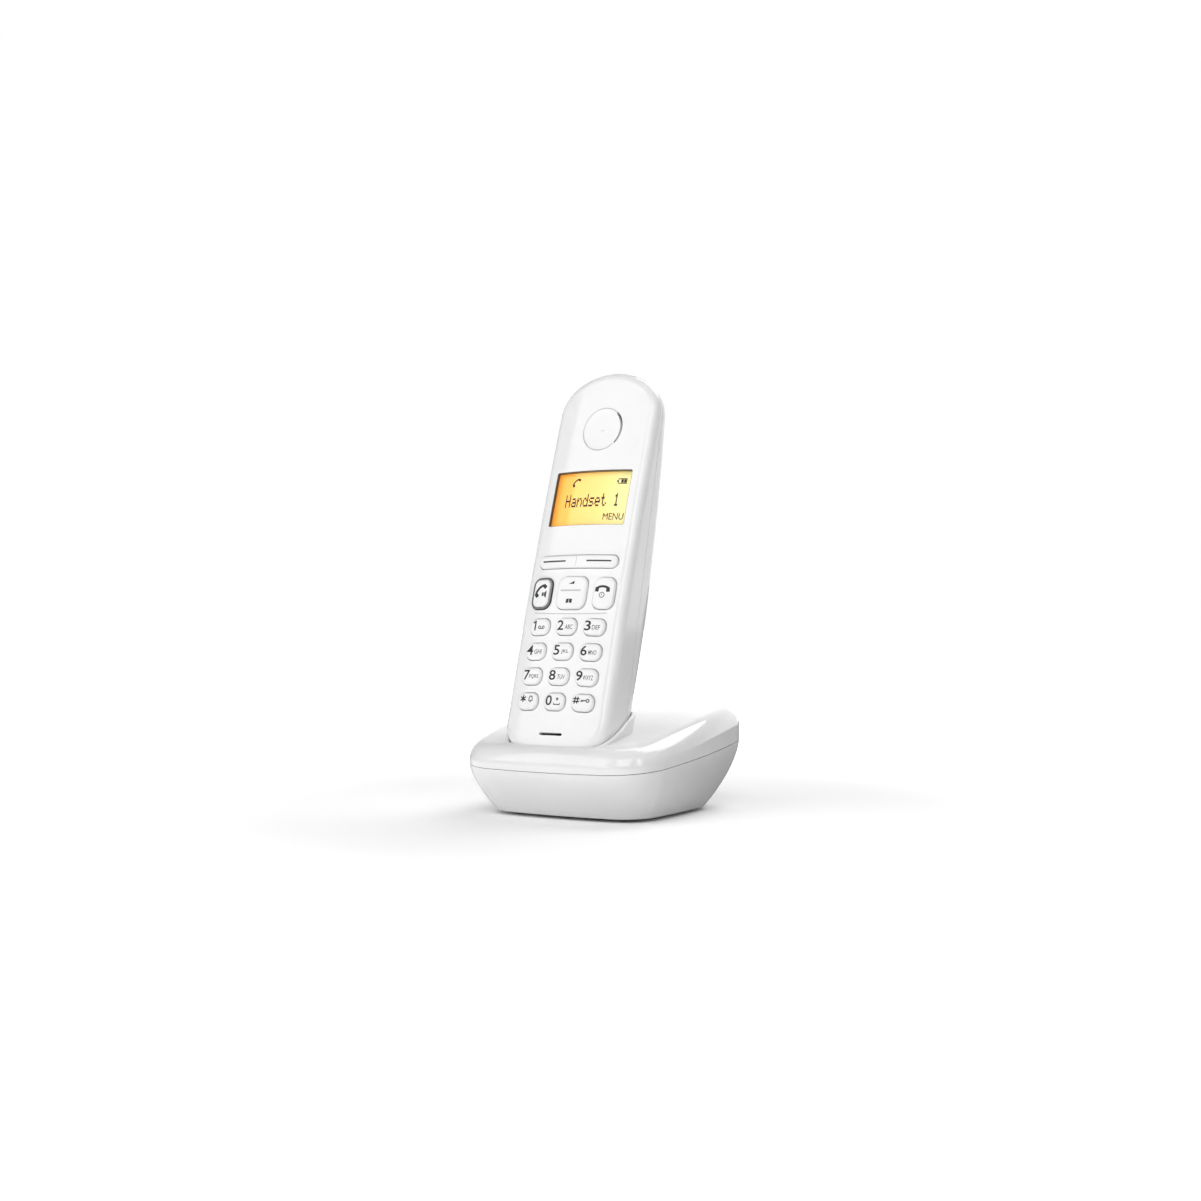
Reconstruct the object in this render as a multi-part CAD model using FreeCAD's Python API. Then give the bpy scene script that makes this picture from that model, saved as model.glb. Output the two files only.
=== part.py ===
"""Cordless telephone: a handset standing in a desk charging base.

World frame: +Z up, the phone faces -Y, +X to the right of its front. The origin is on the desk,
under the middle of the base. Millimetres.

The handset is drawn lying flat in its own frame and then docked: x across, y along it from its
bottom end, z out of its face. dock() carries a piece from there to where it stands in the base.
"""
import FreeCAD
import Part
import math
import os

V = FreeCAD.Vector
X = V(1, 0, 0)
Y = V(0, 1, 0)
Z = V(0, 0, 1)

# ---- handset: outer form ------------------------------------------------------------------
HANDSET_LENGTH = 166.0
HANDSET_HALF_WIDTH = 24.0
TOP_CROWN = 30.0             # radius across the top end
TOP_CORNER = 17.0            # and at its corners
BOTTOM_CROWN = 95.0
BOTTOM_CORNER = 14.0
FACE_ARC = 2200.0            # the face bows along its length, highest at FACE_MIDDLE
FACE_MIDDLE = 92.0
FACE_CROWN = 139.0           # and more across
BACK_DEPTH = 27.0            # deepest point of the back, BACK_DEEPEST from the bottom end
BACK_DEEPEST = 38.0
BACK_ARC = 620.0
BACK_CROWN = 110.0
FACE_ROUND = 4.2
BACK_ROUND = 7.5
WALL = 1.9
SEAM_DEPTH = 18.9            # depth of the seam at the bottom end
SEAM_RISE = 0.0769           # how fast the seam nears the face towards the top
SEAM_GAP = 0.12              # half the visible gap
LIP = 1.0                    # thickness of the lip that backs a seam

# ---- handset: face ------------------------------------------------------------------------
GAP = 0.3                    # round everything that moves
KEY_WIDTH = 9.5
KEY_HEIGHT = 7.0
KEY_CORNER = 3.0
KEY_COLUMNS = (-12.8, 0.0, 12.8)
KEY_ROWS = (52.8, 42.5, 32.2, 21.9)
KEY_NAMES = (
    ("key_1", "key_2", "key_3"),
    ("key_4", "key_5", "key_6"),
    ("key_7", "key_8", "key_9"),
    ("key_star", "key_0", "key_hash"),
)
KEY_PROUD = 1.4              # keys stand this far out of the face
KEY_ROUND = 1.15
KEY_TRAVEL = 0.6
FLANGE = 0.8                 # a key's flange, wide and thick
FUNCTION_ROW = 67.0
FUNCTION_COLUMN = 14.6
FUNCTION_WIDTH = 9.4
FUNCTION_HEIGHT = 13.3
FUNCTION_CORNER = 3.4
RIM = 0.7                    # thickness of the talk key's bright rim
NAV_WIDTH = 13.6
NAV_HEIGHT = 13.8
SOFT_ROW = 80.4
SOFT_WIDTH = 37.0
SOFT_HEIGHT = 5.5
SOFT_CORNER = 2.6
WINDOW_HALF_WIDTH = 18.0
WINDOW_Y = (96.3, 120.4)
WINDOW_DEPTH = 1.3           # the pane lies this far behind the face
PANE = 0.9
EARPIECE_X = 0.4
EARPIECE_Y = 139.0
EARPIECE_RADIUS = 9.5        # half its height
EARPIECE_NARROW = 0.945      # its width over its height
SOUND_SLOT_WIDTH = 1.05
SOUND_SLOT_TURN = (-43.0, 50.0)
MICROPHONE_Y = 9.0
MICROPHONE_SLOT = (10.6, 1.1)

# ---- handset: inside ----------------------------------------------------------------------
BOARD_TOP = -7.4
BOARD = 1.2
MAT_TOP = -6.8
CELL_RADIUS = 5.25
CELL_LENGTH = 44.5
CELL_START = 57.0
CELL_DEPTH = 15.7            # depth of the cells' axis
DOOR_Y = (52.0, 116.0)
DOOR_HALF_WIDTH = 17.0
CONTACT_X = 10.0             # charging contacts, either side of the middle
CONTACT_DEPTH = 12.0

# ---- docked position ----------------------------------------------------------------------
LEAN = 17.94                 # degrees back from upright
DOCK_Y = -47.94
DOCK_Z = 25.97
DOCK = FreeCAD.Placement(V(0, DOCK_Y, DOCK_Z), FreeCAD.Rotation(X, 90 - LEAN))
POCKET_GAP = 0.35            # room round the handset in its pocket
COLLAR = 2.0                 # the pocket wall reaches this far from the handset
COLLAR_FRONT_Z = 28.0        # height of the collar at COLLAR_FRONT_Y
COLLAR_FRONT_Y = -46.0
COLLAR_SLOPE = 29.0          # degrees, the collar climbs to the back
COLLAR_TOP_Z = 42.4
COLLAR_ROUND = 0.7           # on both edges of the collar's rim

# ---- base ---------------------------------------------------------------------------------
BASE_HALF_WIDTH = 47.0
BASE_HALF_DEPTH = 50.5
SIDE_BOW = 230.0             # radius of the bowed sides in plan
BASE_CORNER = 21.0
FOOT_HALF_WIDTH = 37.0
FOOT_HALF_DEPTH = 34.6
FOOT_CORNER = 14.0
FOOT_CENTRE_Y = -4.6
FLANK_POWER = 1.55           # how the flank swells from the foot to the seam
FEET_HEIGHT = 1.5            # the shell stands this far above the desk
BASE_SEAM_Z = 24.6           # height of the seam above the origin
BASE_SEAM_SLOPE = math.tan(math.radians(5.85))
DOME_RADIUS = 400.0
DOME_TOP_Y = 66.0            # where the dome's sphere is highest
DOME_TOP_Z = 45.4
DOME_ROUND = 8.0
BASE_WALL = 2.0
BASE_BOARD_Z = 8.0
BASE_BOARD = 1.6
SOCKET_BACK_Y = 40.0         # the sockets' mouths
LINE_SOCKET_X = 14.0
POWER_SOCKET_X = -3.0
PAGING_X = -22.0
PAGING_Z = 17.0
PAGING_RADIUS = 4.0
FEET_AT = ((-23.0, -25.0), (23.0, -25.0), (-23.0, 16.0), (23.0, 16.0))


def dock(shape):
    """A handset piece, moved from the flat frame to where it stands in the base."""
    moved = shape.copy()
    moved.Placement = DOCK.multiply(moved.Placement)
    return moved


def box(x0, x1, y0, y1, z0, z1):
    return Part.makeBox(x1 - x0, y1 - y0, z1 - z0, V(x0, y0, z0))


def post(x, y, z0, z1, radius):
    """An upright cylinder."""
    return Part.makeCylinder(radius, z1 - z0, V(x, y, z0), Z)


def one(shape):
    """The biggest solid of a result, cleaned of leftover seams."""
    solid = max(shape.Solids, key=lambda s: s.Volume)
    return solid.removeSplitter()


def arc(centre, radius, first, last):
    """An arc in plan, angles in degrees."""
    points = []
    for angle in (first, (first + last) / 2, last):
        a = math.radians(angle)
        points.append(V(centre[0] + radius * math.cos(a), centre[1] + radius * math.sin(a), 0))
    return Part.Arc(*points).toShape()


def block(x, y, width, height, corner, z0, z1):
    """A rectangle with round corners, extruded from z0 to z1."""
    a = width / 2 - corner
    b = height / 2 - corner
    edges = [
        arc((x + a, y + b), corner, 0, 90),
        Part.makeLine(V(x + a, y + b + corner, 0), V(x - a, y + b + corner, 0)),
        arc((x - a, y + b), corner, 90, 180),
        Part.makeLine(V(x - a - corner, y + b, 0), V(x - a - corner, y - b, 0)),
        arc((x - a, y - b), corner, 180, 270),
        Part.makeLine(V(x - a, y - b - corner, 0), V(x + a, y - b - corner, 0)),
        arc((x + a, y - b), corner, 270, 360),
        Part.makeLine(V(x + a + corner, y - b, 0), V(x + a + corner, y + b, 0)),
    ]
    face = Part.Face(Part.Wire(edges))
    face.translate(V(0, 0, z0))
    return face.extrude(V(0, 0, z1 - z0))


def rim_edges(shape, low, high):
    """The edges that run more or less level, between two heights."""
    found = []
    for edge in shape.Edges:
        middle = (edge.FirstParameter + edge.LastParameter) / 2
        if abs(edge.tangentAt(middle).z) > 0.8:
            continue
        if low < edge.valueAt(middle).z < high:
            found.append(edge)
    return found


# ---- handset body -------------------------------------------------------------------------
def end_arcs(crown, corner):
    """Where the two radii of a rounded end meet: corner centre, and the angle there."""
    across = HANDSET_HALF_WIDTH - corner
    along = math.sqrt((crown - corner) ** 2 - across ** 2)
    return across, along, math.degrees(math.atan2(along, across))


def handset_outline(grow):
    """The front view of the handset, grown outwards."""
    half = HANDSET_HALF_WIDTH + grow
    tx, ty, turn = end_arcs(TOP_CROWN, TOP_CORNER)
    bx, by, sweep = end_arcs(BOTTOM_CROWN, BOTTOM_CORNER)
    top_y = HANDSET_LENGTH - TOP_CROWN
    high = top_y + ty
    low = BOTTOM_CROWN - by
    edges = [
        arc((tx, high), TOP_CORNER + grow, 0, turn),
        arc((0, top_y), TOP_CROWN + grow, turn, 180 - turn),
        arc((-tx, high), TOP_CORNER + grow, 180 - turn, 180),
        Part.makeLine(V(-half, high, 0), V(-half, low, 0)),
        arc((-bx, low), BOTTOM_CORNER + grow, 180, 180 + sweep),
        arc((0, BOTTOM_CROWN), BOTTOM_CROWN + grow, 180 + sweep, 360 - sweep),
        arc((bx, low), BOTTOM_CORNER + grow, 360 - sweep, 360),
        Part.makeLine(V(half, low, 0), V(half, high, 0)),
    ]
    return Part.Wire(edges)


def swung(y, z_arc, z_ends, z_far, axis_z, first, last):
    """A block whose one side is bowed across, swung along the handset about an axis along x."""
    reach = 40.0
    bow = Part.Arc(V(-reach, y, z_ends), V(0, y, z_arc), V(reach, y, z_ends)).toShape()
    edges = [
        bow,
        Part.makeLine(V(reach, y, z_ends), V(reach, y, z_far)),
        Part.makeLine(V(reach, y, z_far), V(-reach, y, z_far)),
        Part.makeLine(V(-reach, y, z_far), V(-reach, y, z_ends)),
    ]
    face = Part.Face(Part.Wire(edges))
    face.rotate(V(0, y, axis_z), X, first)
    return face.revolve(V(0, y, axis_z), X, last - first)


def under_face(grow):
    """Everything behind the face, down past the back."""
    radius = FACE_CROWN + grow
    drop = radius - math.sqrt(radius ** 2 - 40.0 ** 2)
    swing = math.degrees(115.0 / FACE_ARC)
    return swung(FACE_MIDDLE, grow, grow - drop, -60.0, -FACE_ARC, -swing, swing)


def over_back(grow):
    """Everything in front of the back, up past the face."""
    radius = BACK_CROWN + grow
    lift = radius - math.sqrt(radius ** 2 - 40.0 ** 2)
    deepest = -BACK_DEPTH - grow
    below = math.degrees((BACK_DEEPEST + 20) / BACK_ARC)
    above = math.degrees((HANDSET_LENGTH + 20 - BACK_DEEPEST) / BACK_ARC)
    return swung(BACK_DEEPEST, deepest, deepest + lift, 30.0, BACK_ARC - BACK_DEPTH, -below, above)


def handset_body(grow=0.0):
    """The whole handset as one rounded solid, grown outwards (or inwards, if negative)."""
    face = Part.Face(handset_outline(grow))
    face.translate(V(0, 0, -50))
    prism = face.extrude(V(0, 0, 70))
    body = prism.common(under_face(grow)).common(over_back(grow)).Solids[0]
    body = body.makeFillet(FACE_ROUND + grow, rim_edges(body, -8, 5))
    return body.makeFillet(BACK_ROUND + grow, rim_edges(body, -40, -9.5)).Solids[0]


def above_seam(offset):
    """Everything on the face side of the seam, from offset above it."""
    slant = math.degrees(math.atan(SEAM_RISE))
    side = box(-60, 60, -60, 240, offset, 80)
    side.rotate(V(0, 0, 0), X, slant)
    side.translate(V(0, 0, -SEAM_DEPTH))
    return side


def face_z(x, y):
    """Height of the face at a point."""
    return -((y - FACE_MIDDLE) ** 2) / (2 * FACE_ARC) - x ** 2 / (2 * FACE_CROWN)


def back_z(y):
    """Height of the middle of the back."""
    return -BACK_DEPTH + (y - BACK_DEEPEST) ** 2 / (2 * BACK_ARC)


# ---- handset: what the keys and their openings share ----------------------------------------
def all_keys():
    """Every key as name, x, y, width, height, corner radius."""
    keys = []
    for y, names in zip(KEY_ROWS, KEY_NAMES):
        for x, name in zip(KEY_COLUMNS, names):
            keys.append((name, x, y, KEY_WIDTH, KEY_HEIGHT, KEY_CORNER))
    size = (FUNCTION_WIDTH, FUNCTION_HEIGHT, FUNCTION_CORNER)
    keys.append(("key_talk", -FUNCTION_COLUMN, FUNCTION_ROW) + size)
    keys.append(("key_end", FUNCTION_COLUMN, FUNCTION_ROW) + size)
    keys.append(("key_navigation", 0.0, FUNCTION_ROW, NAV_WIDTH, NAV_HEIGHT, FUNCTION_CORNER))
    keys.append(("key_soft_bar", 0.0, SOFT_ROW, SOFT_WIDTH, SOFT_HEIGHT, SOFT_CORNER))
    return keys


def key(x, y, width, height, corner, proud, drop, flange_out):
    """A key: crowned cap, flange under the cover, stem towards the board."""
    edge = abs(x) + width / 2 + flange_out
    floor = face_z(edge, y) - WALL - drop - FLANGE
    cap = block(x, y, width, height, corner, floor, 6).common(under_face(proud)).Solids[0]
    cap = cap.makeFillet(KEY_ROUND, rim_edges(cap, face_z(x, y) - 1.5, 6))
    rounding = corner + flange_out
    flange = block(x, y, width + 2 * flange_out, height + 2 * flange_out, rounding, floor, 0)
    flange = flange.common(under_face(-WALL - drop)).Solids[0]
    stem = post(x, y, MAT_TOP + 1.25, floor + 0.2, 1.6)
    return one(cap.fuse(flange).fuse(stem))


def number_key(x, y):
    return key(x, y, KEY_WIDTH, KEY_HEIGHT, KEY_CORNER, KEY_PROUD, 0.4, FLANGE)


def talk_key():
    """The talk key's cap, which sits in a bright rim."""
    inset = 2 * RIM
    return key(-FUNCTION_COLUMN, FUNCTION_ROW, FUNCTION_WIDTH - inset, FUNCTION_HEIGHT - inset,
               FUNCTION_CORNER - RIM, KEY_PROUD + 0.1, 0.4, RIM + 0.6)


def talk_rim():
    """The bright rim round the talk key."""
    x, y = -FUNCTION_COLUMN, FUNCTION_ROW
    outer = block(x, y, FUNCTION_WIDTH, FUNCTION_HEIGHT, FUNCTION_CORNER, -8, 6)
    outer = outer.common(under_face(KEY_PROUD - 0.35)).Solids[0]
    outer = outer.makeFillet(0.4, rim_edges(outer, face_z(x, y) - 1.2, 6))
    outer = outer.cut(under_face(-WALL - 0.4))
    inset = 2 * RIM
    hole = block(x, y, FUNCTION_WIDTH - inset, FUNCTION_HEIGHT - inset, FUNCTION_CORNER - RIM, -9, 8)
    return one(outer.cut(hole))


def end_key():
    return key(FUNCTION_COLUMN, FUNCTION_ROW, FUNCTION_WIDTH, FUNCTION_HEIGHT, FUNCTION_CORNER,
               KEY_PROUD, 0.4, 0.6)


def navigation_key():
    """A rocker: presses at its upper and lower half."""
    return key(0, FUNCTION_ROW, NAV_WIDTH, NAV_HEIGHT, FUNCTION_CORNER, KEY_PROUD, 0.9, 0.5)


def soft_bar():
    """The bar of the two display keys, a rocker with a groove in its middle."""
    bar = key(0, SOFT_ROW, SOFT_WIDTH, SOFT_HEIGHT, SOFT_CORNER, KEY_PROUD - 0.2, 1.1, 0.5)
    groove = box(-0.25, 0.25, SOFT_ROW - 5, SOFT_ROW + 5, KEY_PROUD - 0.6, 5)
    return one(bar.cut(groove))


# ---- handset: shells ------------------------------------------------------------------------
def window_block(spare, top, floor):
    """The display opening grown by spare, between two depths behind the face."""
    y0, y1 = WINDOW_Y
    width = 2 * (WINDOW_HALF_WIDTH + spare)
    shape = block(0, (y0 + y1) / 2, width, y1 - y0 + 2 * spare, 0.8 + spare, -12, 6)
    return shape.common(under_face(-top)).cut(under_face(-floor))


def front_cover():
    shell = handset_body().cut(handset_body(-WALL)).common(above_seam(SEAM_GAP))
    cuts = []
    for _, x, y, width, height, corner in all_keys():
        cuts.append(block(x, y, width + 2 * GAP, height + 2 * GAP, corner + GAP, -12, 6))
    y0, y1 = WINDOW_Y
    cuts.append(block(0, (y0 + y1) / 2, 2 * WINDOW_HALF_WIDTH, y1 - y0, 0.8, -6, 6))
    cuts.append(window_block(1.4, WINDOW_DEPTH, 8))
    cuts.append(earpiece_oval(0.22, -8, 6))
    cuts.append(sound_slot())
    width, height = MICROPHONE_SLOT
    cuts.append(block(0, MICROPHONE_Y, width, height, height / 2 - 0.01, -4.6, 6))
    for side in (-1, 1):
        cuts.append(box(side * CONTACT_X - 2, side * CONTACT_X + 2, -2, 2.6,
                        -CONTACT_DEPTH - 3, -CONTACT_DEPTH + 3))
    shell = shell.cut(cuts)
    inner = handset_body(-WALL)
    added = []
    for x, y in screw_places():
        column = post(x, y, screw_seat(y) + 2.3, 2, 2.6).common(inner)
        added.append(column.cut(post(x, y, -20, -8.5, 1.05)))
    return one(shell.fuse(added))


def screw_places():
    return ((-16.2, 133.0), (16.2, 133.0))


def screw_seat(y):
    """Height where the screws' heads sit."""
    return back_z(y) + 4.0


def door_prism(spare):
    y0, y1 = DOOR_Y
    return block(0, (y0 + y1) / 2, 2 * (DOOR_HALF_WIDTH + spare), y1 - y0 + 2 * spare,
                 5 + spare, -45, -13)


def rear_cover():
    outer = handset_body()
    inner = handset_body(-WALL)
    lower = box(-60, 60, -60, 240, -80, 40).cut(above_seam(-SEAM_GAP))
    shell = outer.cut(inner).common(lower)
    lip = handset_body(-WALL - 0.03).cut(handset_body(-WALL - LIP))
    lip = lip.common(above_seam(-3)).cut(above_seam(1.3))
    columns = []
    for x, y in screw_places():
        columns.append(post(x, y, -40, screw_seat(y) + 2.2, 3.1).common(inner))
    shell = shell.fuse([lip] + columns)
    cuts = [door_prism(GAP)]
    for x, y in screw_places():
        cuts.append(post(x, y, -40, screw_seat(y), 2.4))
        cuts.append(post(x, y, -40, 0, 1.3))
    for i in range(5):
        reach = (6.5, 8.5, 9.5, 8.5, 6.5)[i]
        cuts.append(block(0, 123.4 + 1.9 * i, 2 * reach, 0.9, 0.44, -40, -13))
    for side in (-1, 1):
        cuts.append(box(side * CONTACT_X - 2, side * CONTACT_X + 2, -2, 2.9,
                        -CONTACT_DEPTH - 3, -CONTACT_DEPTH + 3))
    return one(shell.cut(cuts))


def battery_cover():
    """The door over the cells, swinging on its lower edge."""
    skin = handset_body().cut(handset_body(-1.7))
    return one(skin.common(door_prism(0)))


def handset_screw(x, y):
    seat = screw_seat(y)
    head = post(x, y, seat - 1.6, seat, 2.2)
    recess = box(x - 1.4, x + 1.4, y - 0.3, y + 0.3, seat - 2, seat - 1.0)
    cross = box(x - 0.3, x + 0.3, y - 1.4, y + 1.4, seat - 2, seat - 1.0)
    return head.fuse(post(x, y, seat - 0.1, -9.0, 1.0)).cut([recess, cross])


# ---- handset: face pieces and inside --------------------------------------------------------
def display_window():
    return one(window_block(1.35, WINDOW_DEPTH + 0.01, WINDOW_DEPTH + PANE))


def display_panel():
    y0, y1 = WINDOW_Y
    return box(-19.2, 19.2, y0 - 1.6, y1 + 1.6, -5.0, -3.9)


def light_guide():
    """The frame that carries the display panel on the board."""
    y0, y1 = WINDOW_Y
    outer = box(-19.8, 19.8, y0 - 2.2, y1 + 2.2, BOARD_TOP, -4.2)
    seat = box(-19.25, 19.25, y0 - 1.65, y1 + 1.65, -5.0, 0)
    return outer.cut(seat)


def earpiece_oval(spare, z0, z1):
    """An upright oval block the shape of the earpiece, grown by spare."""
    half_y = EARPIECE_RADIUS + spare
    half_x = EARPIECE_RADIUS * EARPIECE_NARROW + spare
    centre = V(EARPIECE_X, EARPIECE_Y, z0)
    oval = Part.Ellipse(centre + V(0, half_y, 0), centre + V(half_x, 0, 0), centre)
    return Part.Face(Part.Wire([oval.toShape()])).extrude(V(0, 0, z1 - z0))


def sound_slot():
    """The curved slot along the right side of the earpiece, half in its cover, half in the shell."""
    half = SOUND_SLOT_WIDTH / 2
    ring = earpiece_oval(half, -8, 6).cut(earpiece_oval(-half, -9, 7))
    first, last = SOUND_SLOT_TURN
    centre = V(EARPIECE_X, EARPIECE_Y, 0)
    wedge = Part.makeCylinder(30, 16, centre + V(0, 0, -9), Z, last - first)
    wedge.rotate(centre, Z, first)
    return ring.common(wedge)


def earpiece_cover():
    """The dished oval over the earpiece, open along the sound slot at its right side."""
    disc = earpiece_oval(0, -6, 6).common(under_face(0)).cut(under_face(-1.6))
    centre = V(EARPIECE_X, EARPIECE_Y, 0)
    dish = Part.makeSphere(90, centre + V(0, 0, 90 + face_z(0, EARPIECE_Y) - 0.7))
    disc = disc.cut(dish)
    flange = earpiece_oval(1.2, -4.6, 0).common(under_face(-WALL - 0.02))
    collar = earpiece_oval(0, -4.6, 0).common(under_face(-1.0))
    hollow = earpiece_oval(-2.2, -9, 6)
    return one(disc.fuse([flange.cut(hollow), collar.cut(hollow)]).cut(sound_slot()))


def earpiece_speaker():
    can = post(0, EARPIECE_Y, -8.0, -4.6, 8.6)
    return can.makeFillet(0.5, rim_edges(can, -9, 0))


def loudspeaker():
    can = post(0, 127.2, -16.3, -12.8, 8.2)
    return can.fuse(post(0, 127.2, -12.9, -11.4, 5.0)).removeSplitter()


def microphone():
    return post(0, MICROPHONE_Y + 2.2, BOARD_TOP, -4.0, 2.2)


def key_mat():
    """The sheet of snap domes the keys press on."""
    sheet = block(0, 50.5, 40, 68, 3, BOARD_TOP, MAT_TOP)
    domes = []
    for _, x, y, _, _, _ in all_keys():
        if abs(y - SOFT_ROW) > 1:
            domes.append(Part.makeCone(2.4, 1.6, 0.35, V(x, y, MAT_TOP), Z))
    return sheet.fuse(domes).removeSplitter()


def handset_board():
    board = block(0, 68.5, 40.6, 119, 5, BOARD_TOP - BOARD, BOARD_TOP)
    cuts = [post(x, y, -20, 0, 2.9) for x, y in screw_places()]
    return one(board.cut(cuts))


def handset_shield():
    can = block(0, 117.2, 27, 17, 0.8, -10.6, BOARD_TOP - BOARD)
    return can.makeFillet(0.4, rim_edges(can, -10.7, -10.5))


def battery_tray():
    """The bay that holds both cells, open to the back."""
    y0 = CELL_START - 3.2
    y1 = CELL_START + CELL_LENGTH + 3.2
    outer = box(-12.2, 12.2, y0, y1, -20.2, -9.4)
    bay = box(-11.2, 11.2, y0 + 0.8, y1 - 0.8, -40, -10.2)
    return outer.cut(bay)


def cell(side, up):
    """One rechargeable cell with the nub at its upper or lower end."""
    x = side * 5.5
    y0 = CELL_START
    can_y = y0 if up else y0 + 0.9
    can = Part.makeCylinder(CELL_RADIUS, CELL_LENGTH - 0.9, V(x, can_y, -CELL_DEPTH), Y)
    nub_y = y0 + CELL_LENGTH - 1.0 if up else y0
    nub = Part.makeCylinder(1.8, 1.0, V(x, nub_y, -CELL_DEPTH), Y)
    return can.fuse(nub).removeSplitter()


def contact_spring(side, low):
    """A coil that presses on a cell's flat end, with the plate it stands on."""
    x = side * 5.5
    near = CELL_START - 2.4 if low else CELL_START + CELL_LENGTH + 1.8
    plate = Part.makeBox(8, 0.5, 8, V(x - 4, near, -CELL_DEPTH - 4))
    y0 = CELL_START - 1.9 if low else CELL_START + CELL_LENGTH
    rings = [Part.makeTorus(3.4 - 0.4 * i, 0.32, V(x, y0 + 0.32 + 0.55 * i, -CELL_DEPTH), Y)
             for i in range(3)]
    if not low:
        rings = [Part.makeTorus(3.4 - 0.4 * i, 0.32, V(x, near - 0.32 - 0.5 * i, -CELL_DEPTH), Y)
                 for i in range(3)]
    return plate.fuse(rings)


def contact_button(side, low):
    """The plate that meets a cell's nub."""
    x = side * 5.5
    if low:
        return Part.makeBox(8, 2.4, 8, V(x - 4, CELL_START - 2.4, -CELL_DEPTH - 4))
    return Part.makeBox(8, 2.3, 8, V(x - 4, CELL_START + CELL_LENGTH, -CELL_DEPTH - 4))


def charge_plate(side):
    """A metal pad in the handset's bottom end."""
    x = side * CONTACT_X
    return box(x - 2, x + 2, 0.7, 2.6, -CONTACT_DEPTH - 3, -CONTACT_DEPTH + 3)


# ---- base: outer forms ----------------------------------------------------------------------
def bowed_outline(half_x, half_y, corner):
    """A rectangle with bowed sides and round corners, as arcs: centre, radius and two angles."""
    side_x = half_x - SIDE_BOW
    side_y = half_y - SIDE_BOW
    reach = SIDE_BOW - corner
    low = 0.0
    high = 45.0
    for _ in range(60):
        turn = (low + high) / 2
        cx = side_x + reach * math.cos(math.radians(turn))
        if math.sqrt(max(reach ** 2 - cx ** 2, 0)) + side_y > reach * math.sin(math.radians(turn)):
            low = turn
        else:
            high = turn
    cx = side_x + reach * math.cos(math.radians(turn))
    cy = reach * math.sin(math.radians(turn))
    lean = math.degrees(math.atan2(cy - side_y, cx))
    return [
        ((side_x, 0), SIDE_BOW, -turn, turn),
        ((cx, cy), corner, turn, lean),
        ((0, side_y), SIDE_BOW, lean, 180 - lean),
        ((-cx, cy), corner, 180 - lean, 180 - turn),
        ((-side_x, 0), SIDE_BOW, 180 - turn, 180 + turn),
        ((-cx, -cy), corner, 180 + turn, 180 + lean),
        ((0, -side_y), SIDE_BOW, 180 + lean, 360 - lean),
        ((cx, -cy), corner, 360 - lean, 360 - turn),
    ]


def outline_wire(edges, centre_y, height, slope):
    """The outline as a wire; on a sloping plane every arc becomes a smooth curve of it."""
    pieces = []
    for centre, radius, first, last in edges:
        path = []
        for i in range(7):
            a = math.radians(first + (last - first) * i / 6)
            x = centre[0] + radius * math.cos(a)
            y = centre[1] + radius * math.sin(a) + centre_y
            path.append(V(x, y, height + slope * y))
        curve = Part.BSplineCurve()
        a0 = math.radians(first)
        a1 = math.radians(last)
        start = V(-math.sin(a0), math.cos(a0), slope * math.cos(a0))
        end = V(-math.sin(a1), math.cos(a1), slope * math.cos(a1))
        curve.interpolate(path, InitialTangent=start, FinalTangent=end)
        pieces.append(curve.toShape())
    return Part.Wire(pieces)


def lower_body(grow=0.0, floor=FEET_HEIGHT):
    """The base below its seam: a small foot swelling to the widest line."""
    wires = []
    for level in (0.0, 0.12, 0.28, 0.45, 0.62, 0.78, 0.9, 1.0):
        inset = (1 - level) ** FLANK_POWER
        half_x = BASE_HALF_WIDTH - (BASE_HALF_WIDTH - FOOT_HALF_WIDTH) * inset + grow
        half_y = BASE_HALF_DEPTH - (BASE_HALF_DEPTH - FOOT_HALF_DEPTH) * inset + grow
        corner = BASE_CORNER - (BASE_CORNER - FOOT_CORNER) * inset + grow
        centre_y = FOOT_CENTRE_Y * inset
        height = floor + (BASE_SEAM_Z - floor) * level
        edges = bowed_outline(half_x, half_y, corner)
        wires.append(outline_wire(edges, centre_y, height, BASE_SEAM_SLOPE * level))
    return Part.makeLoft(wires, True, False)


def widest_prism(grow):
    """The base's widest outline, grown outwards and extruded up from the desk."""
    outline = bowed_outline(BASE_HALF_WIDTH + grow, BASE_HALF_DEPTH + grow, BASE_CORNER + grow)
    wire = Part.Wire([arc(*piece) for piece in outline])
    return Part.Face(wire).extrude(V(0, 0, 60))


def upper_body(grow=0.0):
    """The base above its seam: upright sides under a shallow dome, rounded between them."""
    dome = Part.makeSphere(DOME_RADIUS + grow, V(0, DOME_TOP_Y, DOME_TOP_Z - DOME_RADIUS))
    body = widest_prism(grow).common(dome).Solids[0]
    body = body.makeFillet(DOME_ROUND + grow, rim_edges(body, 20, 60))
    return body.common(over_base_seam(0)).Solids[0]


def over_base_seam(offset):
    """Everything above the base's seam, from offset above it."""
    side = box(-90, 90, -90, 90, 0, 90)
    side.rotate(V(0, 0, 0), X, math.degrees(math.atan(BASE_SEAM_SLOPE)))
    side.translate(V(0, 0, BASE_SEAM_Z + offset))
    return side


def collar_limit():
    """Everything below the line on which the collar climbs from the front lip to the back."""
    slope = box(-60, 60, 0, 120, -60, 0)
    slope.translate(V(0, -60, 0))
    slope.rotate(V(0, 0, 0), X, COLLAR_SLOPE)
    slope.translate(V(0, COLLAR_FRONT_Y, COLLAR_FRONT_Z))
    return slope.common(box(-60, 60, -90, 20, -60, COLLAR_TOP_Z))


def contact_slots():
    slots = []
    for side in (-1, 1):
        x = side * CONTACT_X
        slot = box(x - 1.1, x + 1.1, -14, 4, -CONTACT_DEPTH - 1.9, -CONTACT_DEPTH + 1.9)
        slots.append(dock(slot))
    return slots


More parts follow.
